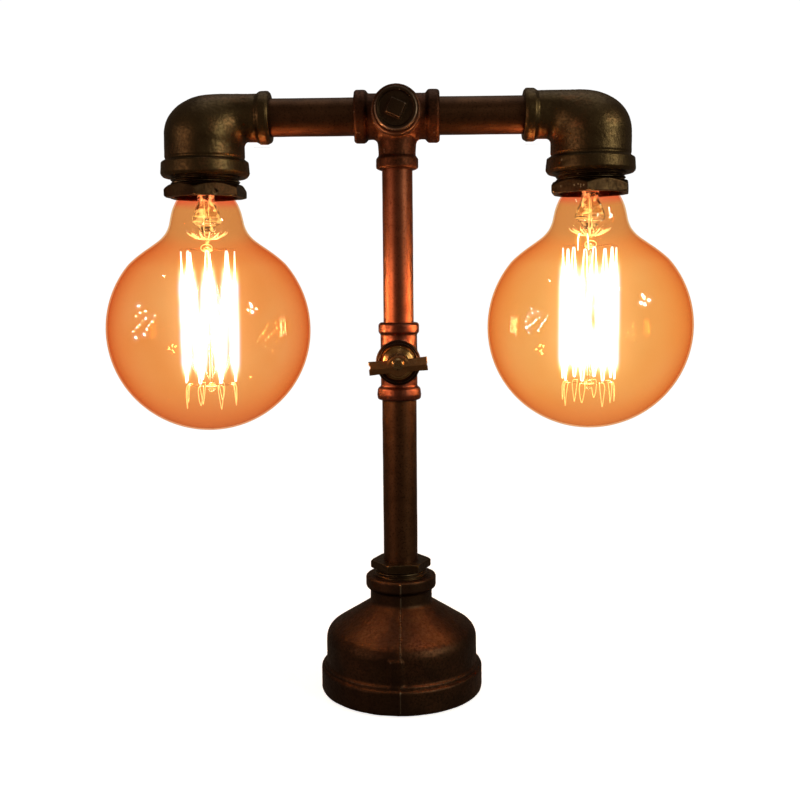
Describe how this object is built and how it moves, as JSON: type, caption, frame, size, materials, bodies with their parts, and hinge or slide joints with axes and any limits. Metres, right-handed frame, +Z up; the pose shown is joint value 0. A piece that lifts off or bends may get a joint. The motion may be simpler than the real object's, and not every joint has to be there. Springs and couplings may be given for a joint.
{
  "type": "industrial pipe table lamp",
  "caption": "Table lamp built from dark iron pipe fittings: a bell base, a stem with a valve-handle switch, and side arms whose elbows hang globe filament bulbs.",
  "frame": {"origin": "on the stem axis, in the plane the foot pad stands on", "axes": "+Z up the stem, +X along the right arm, front (switch handle) towards -Y"},
  "size_m": [0.3576, 0.124, 0.3715],
  "materials": {
    "cast_fittings": "dark bronze-brown patinated casting, satin",
    "pipe_steel": "dark bronze-brown pipe, glossy",
    "plate_steel": "black painted sheet steel",
    "zinc_screws": "zinc plated",
    "foot_rubber": "matte",
    "grommet_rubber": "satin",
    "terminal_plastic": "moulded",
    "switch_plastic": "moulded phenolic",
    "brass_parts": "bright",
    "bronze_bonnet": "dark bronze, polished",
    "handle_metal": "dark antique brass",
    "lead_rubber": "sheathed lead",
    "holder_ceramic": "glazed porcelain",
    "amber_glass": "amber tinted clear glass",
    "cap_metal": "brass lamp cap",
    "cap_insulation": "black vitrite",
    "cap_solder": "solder",
    "mount_glass": "clear glass",
    "support_wire": "nickel wire",
    "filament_glow": "glowing filament"
  },
  "bodies": {
    "stand": {"base_reducer": "cast_fittings", "base_plate": "plate_steel", "base_plate_screws": "zinc_screws", "foot_pad": "foot_rubber", "cord_grommet": "grommet_rubber", "terminal_block": "terminal_plastic", "terminal_screws": "zinc_screws", "block_screw": "zinc_screws", "earth_screw": "zinc_screws", "earth_nut": "brass_parts", "base_bushing": "cast_fittings", "lower_pipe": "pipe_steel", "valve_tee": "cast_fittings", "upper_pipe": "pipe_steel", "switch_body": "switch_plastic", "switch_contacts": "brass_parts", "valve_bonnet": "bronze_bonnet", "switch_nut": "bronze_bonnet", "base_lead": "lead_rubber", "stem_lead": "lead_rubber"},
    "switch_handle": {"switch_spindle": "zinc_screws", "t_handle": "handle_metal", "handle_screw": "handle_metal"},
    "head": {"head_tee": "cast_fittings", "tee_plug": "cast_fittings", "left_arm": "pipe_steel", "right_arm": "pipe_steel", "splice_block": "terminal_plastic", "head_leads": "lead_rubber"},
    "left_lamp": {"left_elbow": "cast_fittings", "left_lamp_bushing": "cast_fittings", "left_lamp_holder": "holder_ceramic", "left_screw_shell": "brass_parts", "left_holder_contact": "brass_parts", "left_holder_screws": "zinc_screws", "left_lamp_lead": "lead_rubber"},
    "left_bulb": {"left_bulb_glass": "amber_glass", "left_bulb_cap": "cap_metal", "left_cap_insulator": "cap_insulation", "left_cap_contact": "cap_solder", "left_glass_mount": "mount_glass", "left_support_wires": "support_wire", "left_filament": "filament_glow"},
    "right_lamp": {"right_elbow": "cast_fittings", "right_lamp_bushing": "cast_fittings", "right_lamp_holder": "holder_ceramic", "right_screw_shell": "brass_parts", "right_holder_contact": "brass_parts", "right_holder_screws": "zinc_screws", "right_lamp_lead": "lead_rubber"},
    "right_bulb": {"right_bulb_glass": "amber_glass", "right_bulb_cap": "cap_metal", "right_cap_insulator": "cap_insulation", "right_cap_contact": "cap_solder", "right_glass_mount": "mount_glass", "right_support_wires": "support_wire", "right_filament": "filament_glow"}
  },
  "joints": [
    {"name": "switch_turn", "type": "hinge", "parent": "stand", "child": "switch_handle", "pos_m": [0, -0.0314, 0.2088], "axis": [0, 1, 0], "range_deg": [0, 90]},
    {"name": "head_swivel", "type": "hinge", "parent": "stand", "child": "head", "pos_m": [0, 0, 0.329], "axis": [0, 0, 1], "range_deg": [-90, 90]},
    {"name": "left_lamp_tilt", "type": "hinge", "parent": "head", "child": "left_lamp", "pos_m": [-0.08, 0, 0.356], "axis": [1, 0, 0], "range_deg": [-60, 60]},
    {"name": "left_bulb_out", "type": "slide", "parent": "left_lamp", "child": "left_bulb", "axis": [0, 0, -1], "range_m": [0, 0.035]},
    {"name": "right_lamp_tilt", "type": "hinge", "parent": "head", "child": "right_lamp", "pos_m": [0.08, 0, 0.356], "axis": [1, 0, 0], "range_deg": [-60, 60]},
    {"name": "right_bulb_out", "type": "slide", "parent": "right_lamp", "child": "right_bulb", "axis": [0, 0, -1], "range_m": [0, 0.035]}
  ]
}
